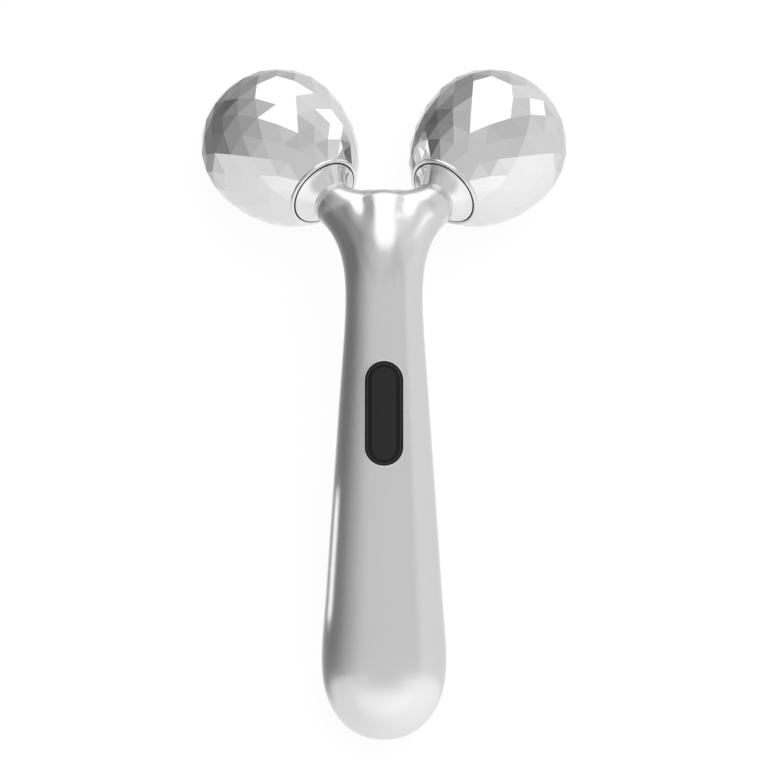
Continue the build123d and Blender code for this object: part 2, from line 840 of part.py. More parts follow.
def main():
    os.makedirs("parts", exist_ok=True)
    place = rest_location()
    for name, shape in assembly().items():
        pieces = shape if isinstance(shape, list) else [shape]
        solids = [solid for piece in pieces for solid in (place * piece).solids()]
        export_step(solids[0] if len(solids) == 1 else Compound(children=solids), f"parts/{name}.step")


if __name__ == "__main__":
    main()
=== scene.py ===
import json
from math import atan2, cos, radians, sin

import bpy
from mathutils import Matrix, Vector
from mathutils.kdtree import KDTree


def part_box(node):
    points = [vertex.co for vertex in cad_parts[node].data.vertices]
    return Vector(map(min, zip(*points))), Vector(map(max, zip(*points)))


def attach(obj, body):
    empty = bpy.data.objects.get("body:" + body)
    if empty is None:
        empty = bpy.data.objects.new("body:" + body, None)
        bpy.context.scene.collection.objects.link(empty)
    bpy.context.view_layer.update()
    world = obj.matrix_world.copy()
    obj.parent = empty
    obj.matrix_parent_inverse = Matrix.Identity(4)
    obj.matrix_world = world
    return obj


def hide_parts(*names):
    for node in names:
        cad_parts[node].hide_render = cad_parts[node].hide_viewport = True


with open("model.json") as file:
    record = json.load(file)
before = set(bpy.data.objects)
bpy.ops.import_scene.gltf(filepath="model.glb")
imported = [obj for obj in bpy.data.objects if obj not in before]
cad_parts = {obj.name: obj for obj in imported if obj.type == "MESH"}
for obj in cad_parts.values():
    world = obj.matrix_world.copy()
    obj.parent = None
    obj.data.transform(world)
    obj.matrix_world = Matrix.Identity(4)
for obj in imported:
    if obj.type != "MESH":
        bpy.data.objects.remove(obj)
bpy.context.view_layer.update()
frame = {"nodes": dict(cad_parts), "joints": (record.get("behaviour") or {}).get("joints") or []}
nodes = frame["nodes"]
bpy.ops.object.select_all(action="DESELECT")

# A facial toning roller, in metres.  The grip's own frame has X across, Y along the grip from the
# butt towards the balls and Z out of the face with the window.  The roller lies on a table, so
# that frame is pitched up from the floor.

SIDES = ("left", "right")


def both(name):
    return [f"{name}_{side}" for side in SIDES]


# ---- sizes of the roller ----
APEX_STATION = 0.113         # where the two ball axes meet, from the end of the butt
HEAD_LEAN = radians(45)      # of the plane of the ball axes from the grip
SEAM_STATION = 0.0255        # from the apex to a ball's mouth
BELLY_HEIGHT = 0.0212        # from a ball's mouth to its widest place

# ---- collars, about a ball's axis, measured from the apex ----
NECK_STATION = 0.0220        # front of the collar
NECK_RADIUS = 0.0050         # of the horn, where the collar starts
COLLAR_RADIUS = 0.00815
RIM_LENGTH = 0.00055         # straight land at the collar's edge
RIM_ROUND = 0.00015
FLARE_START = 0.0048         # a shade under the horn's end, so that the horn stands proud of it
NECK_SLOPE = radians(48)     # at the neck, away from the axis
FLARE_PULL = 0.8             # how far the flare keeps that slope
FLARE_SLOPE = radians(28)    # at the rim, from square to the axis
FLARE_STEPS = 14
RECESS_RADIUS = 0.00665      # seat of the insulator, in the collar's end at the ball
RECESS_DEPTH = 0.0008
BORE_RADIUS = 0.0028
SPIGOT_RADIUS = 0.0035
SPIGOT_LENGTH = 0.0032
TURNED_SEGMENTS = 128
SHARP_EDGE = radians(35)     # faces that meet at less than this are shaded as one

# ---- casings ----
MERGE = 1e-6                 # corners that are closer than this are one
WELD = 1e-7                  # the same, in a ring that has just been turned
PLUG_OVERLAP = 0.003         # how far past the spigot's root the skin's rods fill a horn's bore
NECK_TAIL = 0.006            # how far they go past the neck, so that the skin runs straight there
NECK_OVERLAP = 0.0009        # how far before the neck the tail starts
NECK_TAPER = 0.208           # how fast the horn's radius falls there, by its length
SKIN_VOXEL = 0.0005
SKIN_REACH = 0.0009          # less than the casings' wall, so that the inside is left alone
POLISH_PASSES = 40
POLISH_IN = 0.50             # each pass shrinks the skin and swells it again, so that it keeps
POLISH_OUT = -0.52           # its size and loses its creases
HEAD_START = 0.090           # along the grip, past the window
HEAD_FADE = 0.006

# ---- window in the face of the grip ----
WINDOW_STATION = 0.0759      # its middle, from the end of the butt
WINDOW_WIDTH = 0.00884
WINDOW_LENGTH = 0.0242
WINDOW_STRAIGHT = (WINDOW_LENGTH - WINDOW_WIDTH) / 2   # half of its straight stretch
CELL_WIDTH = 0.0056          # lighter field of the cell, seen through the lens
CELL_LENGTH = 0.0214
CELL_STRAIGHT = (CELL_LENGTH - CELL_WIDTH) / 2
CELL_BLUR = 0.00022          # half the width of its soft edge
LENS_BEVEL = 0.00058         # of the lens's edge, where a painted highlight line stands for the light it catches
BEVEL_LINE = 0.00022         # half the width of that painted highlight line
RIM_BEAD = 0.00022           # thickness of the window's rolled edge
BEAD_POINTS = 96             # round the two ends of that edge
BEAD_CUTS = 30               # along each of its straight sides
BEAD_RESOLUTION = 2          # of its section
BEAD_DROP = 0.0163           # height from which it is laid on the face

# ---- camera ----
VIEW_STATION = 0.08265       # the point of the grip's middle line in the middle of the frame
VIEW_DISTANCE = 1.0
VIEW_SPAN = 0.1786           # length across the frame at the middle line
SENSOR = 36.0
CLIP_START = 0.01
CLIP_END = 20.0

# ---- stage ----
FLOOR_RADIUS = 3.0
FLOOR_SEGMENTS = 64
FLOOR_TONE = 0.85
FLOOR_ROUGH = 0.9
FLOOR_SHARE = 0.12           # how much of the floor's own shading shows
FLOOR_GLOW = 1.04
KEY_SIZE = 1.2
KEY_PLACE = (0.3, 0.2, 1.6)
KEY_POWER = 9.0
CARD_INNER = (-0.0450, 0.0440, -0.0305)   # slim bright card beside the grip, in the grip's frame:
CARD_OUTER = (-0.0540, 0.0440, -0.0157)   # the middles of its two long edges
CARD_LENGTH = 0.031
CARD_GLOW = 1.1
CARD_SLANT = (0.4, 0.6)      # it fades out as it is seen at a slant, from and to these facings

# ---- finishes ----
GRAIN_SIZE = 0.0003
GRAIN_DETAIL = 3.0
GRAIN_RANGE = (0.33, 0.67)   # of the grain's factor, over which a finish changes

# Name, colour, metallic, roughness from and to, size of the grain, bump, contrast.
SATIN_METAL = ("satin metal", (0.90, 0.90, 0.90), 1.0, (0.21, 0.25), 0.00028, 0.02, 0.014)
COLLAR_CHROME = ("collar chrome", (0.93, 0.93, 0.93), 1.0, (0.05, 0.08), 0.0002, 0.0, 0.01)
FACET_CHROME = ("facet chrome", (0.90, 0.90, 0.90), 1.0, (0.02, 0.035), 0.0004, 0.0, 0.006)

# The same for the lens's seal and the pieces inside, which show little until the roller is taken
# apart, and the names of their nodes.
INNER_FINISHES = (
    (("black gasket", (0.02, 0.02, 0.02), 0.0, (0.6, 0.8), 0.0003, 0.1, 0.01), ["lens_gasket"]),
    (("solar cell", (0.02, 0.02, 0.04), 0.0, (0.15, 0.25), 0.0005, 0.02, 0.01), ["solar_cell"]),
    (("board", (0.03, 0.16, 0.07), 0.0, (0.4, 0.5), 0.0004, 0.05, 0.02), ["cell_board"]),
    (
        ("grey resin", (0.30, 0.30, 0.31), 0.0, (0.45, 0.6), 0.0005, 0.1, 0.02),
        ["chassis", *both("ball_core"), *both("core_cap")],
    ),
    (
        ("white resin", (0.78, 0.78, 0.76), 0.0, (0.35, 0.5), 0.0005, 0.05, 0.02),
        [*both("insulator"), *both("bush")],
    ),
    (
        ("turned steel", (0.60, 0.60, 0.61), 1.0, (0.2, 0.35), 0.0003, 0.05, 0.05),
        [
            "yoke", "board_screws", "chassis_screws", "yoke_screws",
            *both("shaft"), *both("retaining_ring"),
        ],
    ),
    (("spring brass", (0.75, 0.56, 0.25), 1.0, (0.25, 0.35), 0.0003, 0.05, 0.05), ["shell_contact"]),
    (("red lead", (0.5, 0.03, 0.03), 0.0, (0.4, 0.5), 0.0003, 0.05, 0.02), ["lead_positive"]),
    (("black lead", (0.02, 0.02, 0.02), 0.0, (0.4, 0.5), 0.0003, 0.05, 0.01), ["lead_negative"]),
)

LENS_TONE = 0.004
CELL_TONE = 0.017
# painted highlight: tone of the lighter line along the lens's bevel
BEVEL_PAINTED_HIGHLIGHT = 0.035
LENS_SPECULAR = 0.25
LENS_ROUGH = (0.06, 0.10)
LENS_GRAIN = 0.0004

# ---- surroundings, by the direction of a ray in the grip's frame ----
BACKDROP = 1.0               # what the camera itself sees past the floor

# Bright panels: centre, direction across, half width, half height, how far down from the centre
# the sides are straight, how fast they then narrow, brightness.
TOP_PANEL = ((0.035, 0.97, 0.17), (1.0, 0.0, 0.0), 0.342, 0.518, 0.41, 1.95, 1.18)
RIGHT_PANEL = ((0.765, 0.596, -0.233), (0.630, -0.582, 0.519), 0.205, 0.185, 0.185, 0.0, 1.20)
PANEL_SOFTNESS = 0.007
PANEL_DEFAULT = 0.1          # of a new panel's sizes, before it is given its own

# Plain walls.  Each pair here and below is where a soft change starts and where it ends.
WALL_LEVEL = 0.60
RIGHT_LIFT = 0.11            # how much lighter they are on the right, except in front
RIGHT_FADE = (0.0, 0.5)      # along X
BEHIND_FADE = (0.34, 0.50)   # along Z

# How uneven the surroundings are, either way, and how much of that is left towards the butt.
MOTTLE = 0.07
MOTTLE_SCALE = 3.0
MOTTLE_DETAIL = 1.0
MOTTLE_RANGE = (0.3, 0.7)    # of the noise
MOTTLE_REST = 0.12
MOTTLE_FADE = (0.12, 0.28)   # along Y

# Dark patches on the left: centre, the cosine at the edge, how fast it falls off, brightness.
DARK_SIDE = ((-0.884, 0.323, -0.339), 0.10, 1.7, 0.13)
DARK_CORNER = ((-0.74, 0.0, -0.67), 0.91, 1.0, 0.28)

# Light table: its brightness, and what it gains to the right, to the front and at its near end.
TABLE_LEVEL = 0.85
TABLE_RIGHT = 0.12
TABLE_FRONT = 0.03
NEAR_LIFT = 0.10
NEAR_FADE = (-0.60, -0.35)   # along Y
FRONT_FADE = (0.20, 0.60)    # along Z

# Its edge along Y, at the sides and in the middle of the front, and the part under the roller.
SIDE_EDGE = (-0.24, -0.18)
MIDDLE_EDGE = (-0.62, -0.24)
MIDDLE_FADE = (0.15, 0.95)   # along X, to either side
UNDER_LEVEL = 0.92
UNDER_SHARE = 0.8
UNDER_FADE = (-0.99, -0.86)  # along Z


# ---- frames ----
def ball_axes():
    """Direction of each ball's axis and the centre of each ball, by side."""
    found = {}
    for joint in frame["joints"]:
        side = joint["child"].split("_")[1]
        found[side] = (Vector(joint["axis"]).normalized(), Vector(joint["pos_m"]))
    return found


def on_axis(side, station=0.0):
    """Matrix that lays a piece's own Z axis on a ball's axis, with its origin at the station."""
    axis, centre = ball_axes()[side]
    apex = centre - axis * (SEAM_STATION + BELLY_HEIGHT)
    turn = axis.to_track_quat("Z", "Y").to_matrix().to_4x4()
    return Matrix.Translation(apex + axis * station) @ turn


def grip_frame():
    """Matrix from the grip's own frame to the table's, and its pitch."""
    axes = ball_axes()
    ahead = (axes["left"][0] + axes["right"][0]).normalized()
    pitch = atan2(ahead.z, ahead.y) + HEAD_LEAN
    apex = Matrix.Translation(on_axis("left").translation)
    turn = Matrix.Rotation(pitch, 4, "X")
    return apex @ turn @ Matrix.Translation((0, -APEX_STATION, 0)), pitch


GRIP, PITCH = grip_frame()


# ---- modelling helpers ----
def select_only(*pieces):
    """Select these pieces and nothing else, with the first of them active."""
    bpy.ops.object.select_all(action="DESELECT")
    for piece in pieces:
        piece.select_set(True)
    bpy.context.view_layer.objects.active = pieces[0]


def join(*pieces):
    """Join the pieces into the first of them."""
    select_only(*pieces)
    bpy.ops.object.join()
    return bpy.context.object


def start_shape():
    """Edit mode on the active piece, with all of it selected."""
    bpy.ops.object.mode_set(mode="EDIT")
    bpy.ops.mesh.select_all(action="SELECT")


def settle(piece, matrix=Matrix.Identity(4)):
    """Move the piece's place into its mesh, and the mesh by the matrix."""
    piece.data.transform(matrix @ piece.matrix_world)
    piece.matrix_world = Matrix.Identity(4)


def apply_modifier(piece, kind, **settings):
    """Give the active piece a modifier with these settings, and apply it."""
    modifier = piece.modifiers.new(kind, kind)
    for name, value in settings.items():
        setattr(modifier, name, value)
    bpy.ops.object.modifier_apply(modifier=modifier.name)


def turned(name, profile, matrix):
    """A closed ring of revolution about Z: a circle extruded and widened along the profile."""
    radius, height = profile[0]
    bpy.ops.mesh.primitive_circle_add(vertices=TURNED_SEGMENTS, radius=radius, location=(0, 0, height))
    start_shape()
    for next_radius, next_height in profile[1:] + profile[:1]:
        bpy.ops.mesh.extrude_region_move(TRANSFORM_OT_translate={"value": (0, 0, next_height - height)})
        bpy.ops.transform.resize(value=(next_radius / radius, next_radius / radius, 1))
        radius, height = next_radius, next_height
    bpy.ops.mesh.select_all(action="SELECT")
    bpy.ops.mesh.remove_doubles(threshold=WELD)
    bpy.ops.mesh.normals_make_consistent(inside=False)
    bpy.ops.object.mode_set(mode="OBJECT")
    piece = bpy.context.object
    piece.name = name
    settle(piece, matrix)
    select_only(piece)
    bpy.ops.object.shade_smooth_by_angle(angle=SHARP_EDGE)
    bpy.ops.object.select_all(action="DESELECT")
    return piece


# ---- node helpers ----
def feed(tree, slot, value):
    """Link a socket to the slot, or set the slot to a plain value."""
    if isinstance(value, bpy.types.NodeSocket):
        tree.links.new(value, slot)
    else:
        slot.default_value = value


def add_node(tree, kind, settings=None, **inputs):
    """A node with its own settings and with inputs fed by name, where _ stands for a space."""
    node = tree.nodes.new(kind)
    for name, value in (settings or {}).items():
        setattr(node, name, value)
    for name, value in inputs.items():
        feed(tree, node.inputs[name.replace("_", " ")], value)
    return node


def group_node(tree, group, **inputs):
    return add_node(tree, "ShaderNodeGroup", {"node_tree": group}, **inputs)


def in_order(tree, kind, operation, values):
    """Outputs of a node of one operation, which takes the values in their order."""
    node = add_node(tree, kind, {"operation": operation})
    for slot, value in zip(node.inputs, values):
        feed(tree, slot, value)
    return node.outputs


def math_node(tree, operation, *values):
    return in_order(tree, "ShaderNodeMath", operation, values)[0]


def dot(tree, one, other):
    return in_order(tree, "ShaderNodeVectorMath", "DOT_PRODUCT", (one, other))["Value"]


def cross(tree, one, other):
    return in_order(tree, "ShaderNodeVectorMath", "CROSS_PRODUCT", (one, other))["Vector"]


def ramp(tree, value, low, high, low_value, high_value, shape="SMOOTHSTEP"):
    """A value that goes from low_value to high_value as the input goes from low to high."""
    node = add_node(
        tree, "ShaderNodeMapRange", {"interpolation_type": shape}, Value=value, From_Min=low,
        From_Max=high, To_Min=low_value, To_Max=high_value,
    )
    return node.outputs["Result"]


def mix(tree, kind, below, above, mask):
    """A number or a colour, with another laid over it where the mask is 1."""
    node = add_node(tree, "ShaderNodeMix", {"data_type": kind}, Factor=mask, A=below, B=above)
    return node.outputs["Result"]


def mix_shaders(tree, below, above, mask):
    node = add_node(tree, "ShaderNodeMixShader", Fac=mask)
    feed(tree, node.inputs[1], below)
    feed(tree, node.inputs[2], above)
    return node.outputs[0]


def emission(tree, strength):
    return add_node(tree, "ShaderNodeEmission", Strength=strength).outputs[0]


def grey(level):
    return (level, level, level, 1)


# ---- node groups ----
def new_group(name, vectors, floats, result):
    """A group with these inputs and one result: the group, its inputs and its result's slot."""
    group = bpy.data.node_groups.new(name, "ShaderNodeTree")
    for label in vectors:
        group.interface.new_socket(label, in_out="INPUT", socket_type="NodeSocketVector")
    for label, value in floats.items():
        made = group.interface.new_socket(label, in_out="INPUT", socket_type="NodeSocketFloat")
        made.default_value = value
    group.interface.new_socket(result, in_out="OUTPUT", socket_type="NodeSocketFloat")
    source = group.nodes.new("NodeGroupInput").outputs
    return group, source, group.nodes.new("NodeGroupOutput").inputs[result]


def grain_group():
    """Fine blasted grain: a factor for tone, roughness and bump."""
    sizes = {"Size": GRAIN_SIZE, "Detail": GRAIN_DETAIL}
    group, source, result = new_group("Fine grain", (), sizes, "Factor")
    place = add_node(group, "ShaderNodeTexCoord").outputs["Object"]
    scale = math_node(group, "DIVIDE", 1.0, source["Size"])
    noise = add_node(
        group, "ShaderNodeTexNoise", Vector=place, Scale=scale, Detail=source["Detail"],
    )
    feed(group, result, noise.outputs["Fac"])
    return group


def pill_group():
    """Distance from the middle line of a pill that lies along Y."""
    sizes = {"Straight": WINDOW_STRAIGHT}
    group, source, result = new_group("Pill distance", ("Place",), sizes, "Distance")
    parts = add_node(group, "ShaderNodeSeparateXYZ", Vector=source["Place"]).outputs
    past = math_node(group, "SUBTRACT", math_node(group, "ABSOLUTE", parts["Y"]), source["Straight"])
    along = math_node(group, "POWER", math_node(group, "MAXIMUM", past, 0.0), 2.0)
    across = math_node(group, "POWER", parts["X"], 2.0)
    feed(group, result, math_node(group, "SQRT", math_node(group, "ADD", across, along)))
    return group


def panel_group():
    """How much of a studio panel a ray meets: 1 inside the panel, 0 outside, soft at the edge."""
    names = ("Half Width", "Half Height", "Softness", "Straight", "Narrowing")
    sizes = dict.fromkeys(names, PANEL_DEFAULT)
    group, source, result = new_group("Studio panel", ("Direction", "Centre", "Across"), sizes, "Mask")

    def inside(distance, half):
        distance = math_node(group, "ABSOLUTE", distance)
        low = math_node(group, "SUBTRACT", half, source["Softness"])
        high = math_node(group, "ADD", half, source["Softness"])
        return ramp(group, distance, low, high, 1.0, 0.0)

    direction = source["Direction"]
    sideways = dot(group, direction, source["Across"])
    upwards = dot(group, direction, cross(group, source["Centre"], source["Across"]))
    past = math_node(group, "SUBTRACT", math_node(group, "MULTIPLY", upwards, -1.0), source["Straight"])
    lost = math_node(group, "MULTIPLY", math_node(group, "MAXIMUM", past, 0.0), source["Narrowing"])
    width = inside(sideways, math_node(group, "SUBTRACT", source["Half Width"], lost))
    within = math_node(group, "MULTIPLY", width, inside(upwards, source["Half Height"]))
    ahead = math_node(group, "GREATER_THAN", dot(group, direction, source["Centre"]), 0.0)
    feed(group, result, math_node(group, "MULTIPLY", within, ahead))
    return group


GRAIN = grain_group()
PILL = pill_group()
PANEL = panel_group()


# ---- materials ----
def new_material(name):
    material = bpy.data.materials.new(name)
    material.use_nodes = True
    tree = material.node_tree
    return material, tree, tree.nodes["Principled BSDF"].inputs


def by_grain(tree, factor, low, high):
    return ramp(tree, factor, *GRAIN_RANGE, low, high, "LINEAR")


def grained(name, colour, metallic, rough, grain_size, bump, contrast):
    """A surface with fine grain: the grain moves its tone, its roughness and its bump."""
    material, tree, surface = new_material(name)
    surface["Metallic"].default_value = metallic
    factor = group_node(tree, GRAIN, Size=grain_size).outputs["Factor"]
    feed(tree, surface["Roughness"], by_grain(tree, factor, *rough))
    dull = [max(c - contrast, 0.0) for c in colour] + [1]
    bright = [min(c + contrast, 1.0) for c in colour] + [1]
    feed(tree, surface["Base Color"], mix(tree, "RGBA", dull, bright, by_grain(tree, factor, 0.0, 1.0)))
    raised = add_node(tree, "ShaderNodeBump", Strength=bump, Distance=grain_size, Height=factor)
    feed(tree, surface["Normal"], raised.outputs["Normal"])
    return material


def lens_place(tree):
    """Place on the window from its middle, with Y along the grip."""
    low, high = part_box("window_lens")
    place = add_node(tree, "ShaderNodeTexCoord").outputs["Object"]
    turn = add_node(
        tree, "ShaderNodeMapping", {"vector_type": "TEXTURE"}, Vector=place,
        Location=(Vector(low) + Vector(high)) / 2, Rotation=(PITCH, 0, 0),
    )
    return turn.outputs["Vector"]


def smoked_glass():
    """Nearly black glass; the cell's field is a shade lighter, and a painted highlight line runs along
    the bevel.
    """
    material, tree, surface = new_material("smoked glass")
    surface["Specular IOR Level"].default_value = LENS_SPECULAR
    place = lens_place(tree)
    outer = group_node(tree, PILL, Place=place, Straight=WINDOW_STRAIGHT).outputs["Distance"]
    inner = group_node(tree, PILL, Place=place, Straight=CELL_STRAIGHT).outputs["Distance"]
    half, edge = CELL_WIDTH / 2, WINDOW_WIDTH / 2 - LENS_BEVEL
    field = ramp(tree, inner, half - CELL_BLUR, half + CELL_BLUR, 1.0, 0.0)
    rise = ramp(tree, outer, edge - BEVEL_LINE, edge, 0.0, 1.0)
    fall = ramp(tree, outer, edge, edge + BEVEL_LINE, 1.0, 0.0)
    tone = mix(tree, "RGBA", grey(LENS_TONE), grey(CELL_TONE), field)
    # painted highlight along the lens's bevel, laid into the glass's colour
    tone = mix(tree, "RGBA", tone, grey(BEVEL_PAINTED_HIGHLIGHT), math_node(tree, "MULTIPLY", rise, fall))
    feed(tree, surface["Base Color"], tone)
    factor = group_node(tree, GRAIN, Size=LENS_GRAIN).outputs["Factor"]
    feed(tree, surface["Roughness"], by_grain(tree, factor, *LENS_ROUGH))
    return material


def give(material, *pieces):
    for piece in pieces:
        piece.data.materials.clear()
        piece.data.materials.append(material)


def finish_nodes(material, names):
    give(material, *(nodes[name] for name in names))


# ---- collars ----
def flare_profile():
    """Outside of the collar from the neck to its rim, one smooth curve."""
    start = Vector((FLARE_START, NECK_STATION))
    end = Vector((COLLAR_RADIUS - RIM_ROUND, SEAM_STATION - RIM_LENGTH))
    reach = (end - start).length
    leave = Vector((sin(NECK_SLOPE), cos(NECK_SLOPE))) * reach * FLARE_PULL
    arrive = Vector((cos(FLARE_SLOPE), sin(FLARE_SLOPE))) * reach
    points = []
    for step in range(FLARE_STEPS + 1):
        t = step / FLARE_STEPS
        points.append(
            start * (2 * t**3 - 3 * t**2 + 1) + leave * (t**3 - 2 * t**2 + t)
            + end * (3 * t**2 - 2 * t**3) + arrive * (t**3 - t**2)
        )
    return [tuple(point) for point in points]


def collar(side, chrome):
    """Bright flared ring between the horn and the ball."""
    floor_station, root = SEAM_STATION - RECESS_DEPTH, NECK_STATION - SPIGOT_LENGTH
    profile = flare_profile() + [
        (COLLAR_RADIUS, SEAM_STATION - RIM_LENGTH + RIM_ROUND),
        (COLLAR_RADIUS, SEAM_STATION),
        (RECESS_RADIUS, SEAM_STATION),
        (RECESS_RADIUS, floor_station),
        (BORE_RADIUS, floor_station),
        (BORE_RADIUS, root),
        (SPIGOT_RADIUS, root),
        (SPIGOT_RADIUS, NECK_STATION),
    ]
    piece = turned(f"collar.{side}", profile, on_axis(side))
    give(chrome, piece)
    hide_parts(f"collar_{side}")
    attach(piece, "handle")


# ---- casings ----
def copied(name, copy_name):
    """A merged copy of a CAD node, selected and active."""
    piece = bpy.data.objects.new(copy_name, nodes[name].data.copy())
    bpy.context.scene.collection.objects.link(piece)
    select_only(piece)
    start_shape()
    bpy.ops.mesh.remove_doubles(threshold=MERGE)
    bpy.ops.object.mode_set(mode="OBJECT")
    return piece


def axis_rod(side, radius, tip_radius, start, end):
    """Rod about a ball's axis, from one station to another."""
    bpy.ops.mesh.primitive_cone_add(
        radius1=radius, radius2=tip_radius, depth=end - start, vertices=TURNED_SEGMENTS,
    )
    rod = bpy.context.object
    settle(rod, on_axis(side, (start + end) / 2))
    return rod


def neck_rods(side):
    """Rods that fill a horn's bore and carry the horn on past its neck."""
    root, end = NECK_STATION - SPIGOT_LENGTH - PLUG_OVERLAP, NECK_STATION + NECK_TAIL
    tip_radius = NECK_RADIUS - NECK_TAPER * NECK_TAIL
    base_radius = NECK_RADIUS + NECK_TAPER * NECK_OVERLAP
    core = axis_rod(side, SPIGOT_RADIUS, SPIGOT_RADIUS, root, end)
    return [core, axis_rod(side, base_radius, tip_radius, NECK_STATION - NECK_OVERLAP, end)]


def polished_skin():
    """One closed skin over the whole handle, its creases eased as polishing eases a casting's."""
    sources = ["upper_shell", "lower_shell", "window_lens", "lens_gasket"]
    bodies = [copied(name, f"skin.{name}") for name in sources]
    skin = join(*bodies, *neck_rods("left"), *neck_rods("right"))
    apply_modifier(skin, "REMESH", mode="VOXEL", voxel_size=SKIN_VOXEL)
    start_shape()
    for _ in range(POLISH_PASSES):
        bpy.ops.mesh.vertices_smooth(factor=POLISH_IN)
        bpy.ops.mesh.vertices_smooth(factor=POLISH_OUT)
    bpy.ops.mesh.normals_make_consistent(inside=False)
    bpy.ops.object.mode_set(mode="OBJECT")
    bpy.ops.object.shade_smooth()
    bpy.ops.object.select_all(action="DESELECT")
    return skin


def head_group(piece, skin):
    """Vertex group of the head's outside: full past the bend, fading out towards the window."""
    group = piece.vertex_groups.new(name="head")
    to_grip = GRIP.inverted()
    for vertex in piece.data.vertices:
        station = (to_grip @ vertex.co).y
        near_skin = skin.closest_point_on_mesh(vertex.co, distance=SKIN_REACH)[0]
        if near_skin and station > HEAD_START:
            weight = min((station - HEAD_START) / HEAD_FADE, 1.0)
            group.add([vertex.index], weight, "REPLACE")
    return group.name


def corner_distance(mesh, corner, place):
    return (mesh.vertices[mesh.loops[corner].vertex_index].co - place).length_squared


def keep_normals(piece, node):
    """Give a merged copy the CAD node's own corner normals, face by face."""
    mesh, source = piece.data, nodes[node].data
    centres = KDTree(len(source.polygons))
    for face in source.polygons:
        centres.insert(face.center, face.index)
    centres.balance()
    normals = [(0, 0, 1)] * len(mesh.loops)
    for face in mesh.polygons:
        twin = source.polygons[centres.find(face.center)[1]]
        for corner in face.loop_indices:
            place = mesh.vertices[mesh.loops[corner].vertex_index].co
            nearest = min(twin.loop_indices, key=lambda i: corner_distance(source, i, place))
            normals[corner] = source.corner_normals[nearest].vector
    mesh.normals_split_custom_set(normals)


def casing(name, node, skin, metal):
    """One half of the handle: the CAD shell, with the outside of its head laid on the skin."""
    piece = copied(node, name)
    keep_normals(piece, node)
    head = head_group(piece, skin)
    apply_modifier(piece, "SHRINKWRAP", target=skin, vertex_group=head)
    apply_modifier(
        piece, "DATA_TRANSFER", object=skin, use_loop_data=True, data_types_loops={"CUSTOM_NORMAL"},
        loop_mapping="POLYINTERP_NEAREST", vertex_group=head,
    )
    piece.vertex_groups.clear()
    give(metal, piece)
    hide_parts(node)
    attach(piece, "handle")
    return piece


def pill_loop():
    """Loop of edges round the window: half a circle at each end, and finely cut straight sides."""
    bpy.ops.mesh.primitive_circle_add(vertices=BEAD_POINTS, radius=WINDOW_WIDTH / 2 + RIM_BEAD / 2)
    loop = bpy.context.object
    for vertex in loop.data.vertices:
        vertex.co.y += WINDOW_STRAIGHT if vertex.co.y > -MERGE else -WINDOW_STRAIGHT
    start_shape()
    bpy.ops.mesh.select_mode(type="EDGE")
    bpy.ops.mesh.select_all(action="DESELECT")
    bpy.ops.object.mode_set(mode="OBJECT")
    for edge in loop.data.edges:
        one, other = (loop.data.vertices[i].co for i in edge.vertices)
        edge.select = (one - other).length > WINDOW_STRAIGHT
    bpy.ops.object.mode_set(mode="EDIT")
    bpy.ops.mesh.subdivide(number_cuts=BEAD_CUTS)
    bpy.ops.object.mode_set(mode="OBJECT")
    return loop


def window_rim(metal):
    """Fine rolled edge round the window, which follows the face of the grip."""
    loop = pill_loop()
    loop.matrix_world = GRIP @ Matrix.Translation((0, WINDOW_STATION, BEAD_DROP))
    apply_modifier(
        loop, "SHRINKWRAP", target=nodes["upper_shell"], wrap_method="PROJECT", use_project_z=True,
        use_negative_direction=True, use_positive_direction=False,
    )
    bpy.ops.object.convert(target="CURVE")
    curve = bpy.context.object.data
    curve.bevel_depth = RIM_BEAD / 2
    curve.bevel_resolution = BEAD_RESOLUTION
    bpy.ops.object.convert(target="MESH")
    rim = bpy.context.object
    settle(rim)
    bpy.ops.object.shade_smooth()
    give(metal, rim)
    return rim


def casings():
    """Both halves of the handle, with the window's rolled edge on the face."""
    metal = grained(*SATIN_METAL)
    skin = polished_skin()
    face = casing("face_casing", "upper_shell", skin, metal)
    casing("back_casing", "lower_shell", skin, metal)
    bpy.data.objects.remove(skin)
    join(face, window_rim(metal))
    bpy.ops.object.select_all(action="DESELECT")


def roller():
    """The whole roller: new casings and collars, and finishes for the nodes that stay."""
    casings()
    finish_nodes(grained(*FACET_CHROME), both("ball_skin"))
    finish_nodes(smoked_glass(), ["window_lens"])
    for finish, names in INNER_FINISHES:
        finish_nodes(grained(*finish), names)
    chrome = grained(*COLLAR_CHROME)
    for side in SIDES:
        collar(side, chrome)


# ---- surroundings ----
def ray_direction(tree):
    """Direction of a ray in the grip's frame, and its three parts."""
    place = add_node(tree, "ShaderNodeTexCoord").outputs["Generated"]
    turn = add_node(
        tree, "ShaderNodeMapping", {"vector_type": "VECTOR"}, Vector=place, Rotation=(-PITCH, 0, 0),
    )
    direction = turn.outputs["Vector"]
    return direction, add_node(tree, "ShaderNodeSeparateXYZ", Vector=direction).outputs


def darkened(tree, light, direction, patch):
    """The light, with a round dark patch laid over it that is full only at its centre."""
    centre, edge, power, dark = patch
    cosine = dot(tree, direction, Vector(centre).normalized())
    mask = math_node(tree, "POWER", ramp(tree, cosine, edge, 1.0, 0.0, 1.0, "LINEAR"), power)
    return mix(tree, "FLOAT", light, dark, mask)


def walls(tree, direction, parts):
    """Plain surroundings, a little lighter on the right and dark on the left."""
    on_right = ramp(tree, parts["X"], *RIGHT_FADE, 0.0, RIGHT_LIFT)
    behind = ramp(tree, parts["Z"], *BEHIND_FADE, 1.0, 0.0)
    light = math_node(tree, "ADD", math_node(tree, "MULTIPLY", on_right, behind), WALL_LEVEL)
    return darkened(tree, light, direction, DARK_SIDE)


